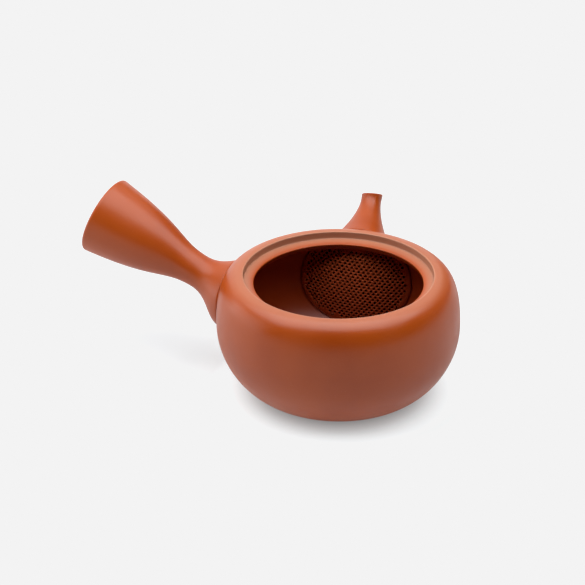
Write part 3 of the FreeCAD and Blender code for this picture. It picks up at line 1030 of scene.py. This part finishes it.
@dataclass
class CurvedSpout(LutedTube):
    """The curved hollow cone that is luted over the pour hole. Its way is a share from root to tip.

    Its root's place and tilt are the pot's. Shares and radii are a table of the outer radius along the
    way. Lean and tip bias set the tip a little to one side and cut it a little out of square.
    """

    search: tuple = (-0.17, 0.7)
    samples: int = 1600
    rows: TubeRows = TubeRows(edge=7, body=90, lip=12, hollow=60, face=5)
    around: int = 144
    lip_length: float = 0.021
    root_pull: float = 12.8
    tip: tuple = (81.3, 58.7)
    tip_tilt: float = 58.0
    tip_pull: float = 9.2
    shares: tuple = (-0.12, 0.0, 0.2, 0.4, 0.55, 0.7, 0.85, 1.0)
    radii: tuple = (19.9, 18.5, 14.1, 10.15, 7.65, 5.8, 4.8, 4.9)
    root_wall: float = 4.2
    tip_wall: float = 1.7
    setback: float = 0.9
    edge_round: float = 0.7
    edge_run: float = 0.02
    lean: float = 0.45
    tip_bias: float = 0.007
    slip_waver: float = 0.12
    slip_seed: int = 17

    def place(self, way: Array, radius: Array, turn: Array) -> Array:
        """Points of a tube round a cubic centre line C(t): C(t) + radius (cos a X + sin a N(t)).

        Args:
            way: How far along the centre line.
            radius: Distance from it.
            turn: Angle round it.

        Returns:
            Points in millimetres.
        """
        way, radius, turn = np.broadcast_arrays(way, radius, turn)
        root_tilt, tip_tilt = math.radians(self.pot.spout_tilt), math.radians(self.tip_tilt)
        p0, p3 = np.array(self.pot.spout_root), np.array(self.tip)
        p1 = p0 + self.root_pull * np.array([math.cos(root_tilt), math.sin(root_tilt)])
        p2 = p3 - self.tip_pull * np.array([math.cos(tip_tilt), math.sin(tip_tilt)])
        t = way[..., None]
        rest = 1 - t
        middle = rest ** 3 * p0 + 3 * t * rest ** 2 * p1 + 3 * t ** 2 * rest * p2 + t ** 3 * p3
        run = 3 * rest ** 2 * (p1 - p0) + 6 * t * rest * (p2 - p1) + 3 * t ** 2 * (p3 - p2)
        run = run / np.linalg.norm(run, axis=-1, keepdims=True)
        across, up = radius * np.cos(turn) + self.lean * way ** 3, radius * np.sin(turn)
        return np.stack([across, middle[..., 0] - up * run[..., 1], middle[..., 1] + up * run[..., 0]],
                        axis=-1)

    def skin(self, way: Array) -> Array:
        """The outer radius, read smoothly from the table."""
        return smooth_table(np.array(self.shares), np.array(self.radii), way)

    def bore(self, way: Array) -> Array:
        """The inner radius: the outer one less a wall that thins towards the tip."""
        return self.skin(way) - self.root_wall - (self.tip_wall - self.root_wall) * way

    def build(self, clay: ClayShelf) -> bpy.types.Object:
        """Builds the fitted spout and dresses it.

        Args:
            clay: The finishes.

        Returns:
            The spout.
        """
        lip_start = 1.0 - self.lip_length + self.tip_bias * np.cos(full_circle(self.around))
        spout = self.fitted_tube("curved_spout", lip_start, self.edge_run, self.edge_round)
        clay.put_on(spout, Finish.BURNISHED)
        return hand_over(spout, "spout")

    def build_slip(self, clay: ClayShelf) -> bpy.types.Object:
        """Builds the ring of slip under the spout's root.

        Args:
            clay: The finishes.

        Returns:
            The ring of slip.
        """
        waver = self.slip_waver * drift(full_circle(self.around), np.zeros(1), self.slip_seed)
        outer = self.skin(self.contact(self.skin, self.slip)) - self.setback + waver
        inner = self.bore(self.contact(self.bore, self.slip)) + self.slip_overlap
        slip = self.slip_ring("spout_luting_slip", inner, outer)
        clay.put_on(slip, Finish.SLIP)
        return hand_over(slip, "spout_slip_joint")


# Strainer

@dataclass
class PiercedDome:
    """The strainer: a shallow spherical shell inside the wall, pierced all over."""

    pot: ThrownPot
    sphere: float = 75.0
    reach: float = 39.0
    height: float = 27.0
    thickness: float = 2.2
    thinnest: float = 0.05
    border: float = 0.9
    pitch: float = 2.30
    row: float = 1.435
    turn: float = -5.1
    hole_radius: float = 0.68
    hole_round: float = 0.1
    hole_sides: int = 12
    lattice_reach: float = 60.0
    slip: float = 0.3
    middle: tuple = (0.0, 31.0)
    outline_steps: int = 360
    outline_reach: float = 40.0
    outline_samples: int = 2400
    filler_insets: tuple = (0.7, 1.5)
    filler_step: int = 3
    bead_radius: float = 0.55
    bead_waver: float = 0.12
    bead_seed: int = 23
    bead_waves: int = 9
    bead_sides: int = 12

    def front(self, across: Array, up: Array) -> Array:
        """The dome's near face: y = reach + R - sqrt(R^2 - x^2 - (z - height)^2)."""
        return self.reach + self.sphere - np.sqrt(self.sphere ** 2 - across ** 2 - (up - self.height) ** 2)

    def back(self, across: Array, up: Array) -> Array:
        """The far face: the near one moved back by the thickness, but never past the inner wall.

        Args:
            across, up: Where, as x and z.

        Returns:
            The face's y.
        """
        front = self.front(across, up)
        wall = self.pot.inside_radius(up, self.slip)
        limit = np.sqrt(np.clip(wall ** 2 - across ** 2, 0.0, None))
        return np.maximum(np.minimum(front + self.thickness, limit), front + self.thinnest)

    def outline(self, inset: float) -> Array:
        """Where the near face meets the inner wall, seen from a middle point at each angle.

        Args:
            inset: How far the outline is drawn in.

        Returns:
            (outline_steps, 2) points of x and z.
        """
        angle = full_circle(self.outline_steps)
        way = np.linspace(0.0, self.outline_reach, self.outline_samples)[:, None]
        across, up = self.middle[0] + way * np.cos(angle), self.middle[1] + way * np.sin(angle)
        inside = np.hypot(across, self.front(across, up)) < self.pot.inside_radius(up, self.slip)
        last = np.argmin(inside, axis=0) - 1
        span = way[last, 0] - inset
        return np.array(self.middle) + span[:, None] * np.stack([np.cos(angle), np.sin(angle)], axis=-1)

    def within(self, points: Array, line: Array) -> Array:
        """Whether points lie inside an outline: nearer to the middle than it is at the same angle.

        Args:
            points: (n, 2) points of x and z.
            line: The outline.

        Returns:
            (n,) answers.
        """
        away = points - np.array(self.middle)
        angle = np.arctan2(away[:, 1], away[:, 0]) % FULL_TURN
        reach = np.hypot(*(line - np.array(self.middle)).T)
        steps = np.linspace(0.0, FULL_TURN, self.outline_steps + 1)
        return np.hypot(*away.T) < np.interp(angle, steps, np.append(reach, reach[0]))

    def hole_places(self) -> Array:
        """The staggered lattice of holes, turned a little, kept inside the plain border.

        Returns:
            (n, 2) points of x and z.
        """
        count = int(self.lattice_reach / self.row)
        steps = np.arange(-count, count + 1)
        level, column = np.meshgrid(steps, steps, indexing="ij")
        flat = np.stack([(column + 0.5 * (level % 2)) * self.pitch, level * self.row], axis=-1)
        spin = math.radians(self.turn)
        turned = flat.reshape(-1, 2) @ np.array([[math.cos(spin), math.sin(spin)],
                                                 [-math.sin(spin), math.cos(spin)]])
        places = turned + np.array(self.middle)
        return places[self.within(places, self.outline(self.border + self.hole_radius))]

    def face_sheet(self, flat: Array, mouths: int, line: Array) -> Array:
        """Triangulates the face between the holes and the outline.

        Args:
            flat: (n, 2) points, the holes' first.
            mouths: How many of them are holes' points.
            line: The outline.

        Returns:
            (m, 3) corners, without those triangles that fill a hole or lie outside.
        """
        vertices, _, triangles, *_ = delaunay_2d_cdt([Vector(point) for point in flat], [], [], 0, 1e-6)
        if len(vertices) != len(flat):
            raise RuntimeError("the strainer's face lost points")
        sheet = np.array([tuple(corner) for corner in triangles])
        hole = sheet // self.hole_sides
        filled = (hole == hole[:, :1]).all(axis=1) & (sheet < mouths).all(axis=1)
        return sheet[~filled & self.within(flat[sheet].mean(axis=1), line)]

    def build(self, clay: ClayShelf) -> bpy.types.Object:
        """Lifts the pierced face onto both sides of the shell, joins them through the holes, and dresses it.

        Args:
            clay: The finishes.

        Returns:
            The strainer.
        """
        places, line = self.hole_places(), self.outline(0.0)
        spin = full_circle(self.hole_sides)
        ring = np.stack([np.cos(spin), np.sin(spin)], axis=-1)
        wide = (places[:, None, :] + (self.hole_radius + self.hole_round) * ring).reshape(-1, 2)
        narrow = (places[:, None, :] + self.hole_radius * ring).reshape(-1, 2)
        filler = [self.outline(inset)[::self.filler_step] for inset in self.filler_insets]
        flat = np.concatenate([wide, line, *filler])
        mouths, total = len(wide), len(flat)
        sheet = self.face_sheet(flat, mouths, line)

        layers = ((flat, self.front(*flat.T)), (flat, self.back(*flat.T)),
                  (narrow, self.front(*narrow.T) + self.hole_round),
                  (narrow, self.back(*narrow.T) - self.hole_round))
        points = np.concatenate([np.stack([xz[:, 0], y, xz[:, 1]], axis=-1) for xz, y in layers])

        first = np.arange(mouths).reshape(-1, self.hole_sides)
        after = np.roll(first, -1, axis=1)
        starts = (0, 2 * total, 2 * total + mouths, total)
        walls = [np.stack([first + low, after + low, after + high, first + high], axis=-1).reshape(-1, 4)
                 for low, high in zip(starts[:-1], starts[1:])]
        rim = mouths + np.arange(self.outline_steps)
        rim_after = np.roll(rim, -1)
        skirt = np.stack([rim_after, rim, rim + total, rim_after + total], axis=-1)
        dome = new_mesh("pierced_strainer", points, [sheet, sheet[:, ::-1] + total, *walls, skirt])
        recalculate_outside(dome)
        clay.put_on(dome, Finish.PLAIN)
        LOG.info("strainer: %d holes", len(places))
        return hand_over(dome, "strainer_dome")

    def build_slip(self, clay: ClayShelf) -> bpy.types.Object:
        """Builds the bead of slip in the corner between dome and wall: an uneven round bead on the outline.

        Args:
            clay: The finishes.

        Returns:
            The bead of slip.
        """
        line = self.outline(0.0)
        corner = np.stack([line[:, 0], self.front(*line.T), line[:, 1]], axis=-1)
        inward = -corner * np.array([1.0, 1.0, 0.0])
        inward /= np.linalg.norm(inward, axis=1, keepdims=True)
        toward = np.array([0.0, -1.0, 0.0])
        waver = drift(full_circle(self.outline_steps), np.zeros(1), self.bead_seed, self.bead_waves)
        size = self.bead_radius + self.bead_waver * waver
        bow = full_circle(self.bead_sides)[:, None, None]
        grid = corner + size[:, None] * (np.cos(bow) * inward + np.sin(bow) * toward)
        slip = wrapped_grid("strainer_luting_slip", grid)
        clay.put_on(slip, Finish.SLIP)
        return hand_over(slip, "strainer_slip_joint")


# Studio

@dataclass(frozen=True)
class SoftBox:
    """One large soft lamp, placed as the camera sees it.

    Across runs to the image's right, away runs from the camera, both from the pot's middle. Lengths are
    in metres.
    """

    name: str
    across: float
    away: float
    height: float
    width: float
    depth: float
    glow: float
    flat: bool = True
    aim: tuple = (0.0, 0.0, 0.03)

    def build(self, camera_azimuth: float) -> bpy.types.Object:
        """Hangs the lamp flat over the pot, or turns it to the pot.

        Args:
            camera_azimuth: The camera's turn about the pot in degrees.

        Returns:
            The lamp.
        """
        turn = math.radians(camera_azimuth)
        lamp = bpy.data.lights.new(self.name, "AREA")
        lamp.shape = "RECTANGLE"
        lamp.size, lamp.size_y = self.width, self.depth
        lamp.energy = self.glow * math.pi * self.width * self.depth
        piece = bpy.data.objects.new(self.name, lamp)
        piece.location = (self.across * math.cos(turn) - self.away * math.sin(turn),
                          self.across * math.sin(turn) + self.away * math.cos(turn), self.height)
        if self.flat:
            piece.rotation_euler = (0.0, 0.0, turn)
        else:
            way = Vector(self.aim) - piece.location
            piece.rotation_euler = way.to_track_quat("-Z", "Y").to_euler()
        bpy.context.scene.collection.objects.link(piece)
        return piece


@dataclass
class Studio:
    """The pale floor, the soft lamps, the even surroundings and the camera.

    Lengths are in metres, but the floor's gap, the lens and the sensor are in millimetres.
    """

    camera_azimuth: float = 11.7
    camera_place: tuple = (0.2261, -1.1935, 0.6742)
    camera_pitch: float = 27.29
    lens: float = 187.4
    sensor: float = 36.0
    floor_half: float = 4.0
    floor_lines: int = 9
    floor_gap: float = 0.02
    surround: float = 0.005
    white: float = 0.896
    lamps: tuple = (
        SoftBox("overhead_softbox", -0.05, -0.01, 0.62, 1.25, 0.62, 4.1),
        SoftBox("back_softbox", -0.25, 0.62, 0.62, 1.5, 0.62, 1.0),
        SoftBox("low_back_panel", -0.10, 0.85, 0.22, 0.7, 0.43, 1.2, flat=False),
        SoftBox("low_right_back_panel", 0.65, 0.55, 0.22, 0.7, 0.43, 0.2, flat=False),
        SoftBox("low_left_back_panel", -0.65, 0.55, 0.22, 0.7, 0.43, 0.8, flat=False),
        SoftBox("low_left_panel", -0.85, 0.12, 0.22, 0.7, 0.43, 2.1, flat=False),
    )

    def build(self) -> None:
        """Sets up the whole studio."""
        self.lay_floor()
        self.light_world()
        for lamp in self.lamps:
            lamp.build(self.camera_azimuth)
        self.set_camera()
        self.develop()

    def lay_floor(self) -> None:
        """Lays a flat square of paper a hair under the pot: x and y from -half to +half."""
        side = np.linspace(-self.floor_half, self.floor_half, self.floor_lines) / MM
        x, y = np.meshgrid(side, side, indexing="ij")
        points = np.stack([x, y, np.full_like(x, -self.floor_gap)], axis=-1).reshape(-1, 3)
        index = np.arange(self.floor_lines ** 2).reshape(self.floor_lines, self.floor_lines)
        corners = [index[:-1, :-1], index[1:, :-1], index[1:, 1:], index[:-1, 1:]]
        floor = new_mesh("paper_floor", points, [np.stack(corners, axis=-1).reshape(-1, 4)])
        floor.data.materials.append(FloorFinish().build())

    def light_world(self) -> None:
        """Surrounds the scene with an even pale glow."""
        world = bpy.data.worlds.new("studio_surround")
        world.use_nodes = True
        glow = world.node_tree.nodes["Background"].inputs
        glow["Color"].default_value = (1.0, 1.0, 1.0, 1.0)
        glow["Strength"].default_value = self.surround
        bpy.context.scene.world = world

    def set_camera(self) -> None:
        """Stands the camera where the photograph was taken from."""
        lens = bpy.data.cameras.new("studio_camera")
        lens.lens = self.lens
        lens.sensor_width = self.sensor
        camera = bpy.data.objects.new("studio_camera", lens)
        camera.location = self.camera_place
        pitch, azimuth = math.radians(90.0 - self.camera_pitch), math.radians(self.camera_azimuth)
        camera.rotation_euler = (pitch, 0.0, azimuth)
        bpy.context.scene.collection.objects.link(camera)
        bpy.context.scene.camera = camera

    def develop(self) -> None:
        """Develops the picture: plain view transform, and all past a brightness becomes paper white."""
        view = bpy.context.scene.view_settings
        view.view_transform = "Standard"
        view.use_curve_mapping = True
        curves = view.curve_mapping
        curves.extend = "HORIZONTAL"
        line = curves.curves[3].points
        line[0].location = (0.0, 0.0)
        line[1].location = (self.white, self.white)
        for point in line:
            point.handle_type = "VECTOR"
        curves.update()


def main() -> None:
    """Builds the studio and every piece of the teapot in order."""
    logging.basicConfig(level=logging.INFO, format="%(name)s: %(message)s")
    clay = ClayShelf()
    pot = ThrownPot()
    handle = TrumpetHandle(pot)
    spout = CurvedSpout(pot)
    strainer = PiercedDome(pot)
    pot.build(clay)
    for part in (handle, spout, strainer):
        part.build(clay)
        part.build_slip(clay)
    Studio().build()


if __name__ == "__main__":
    main()
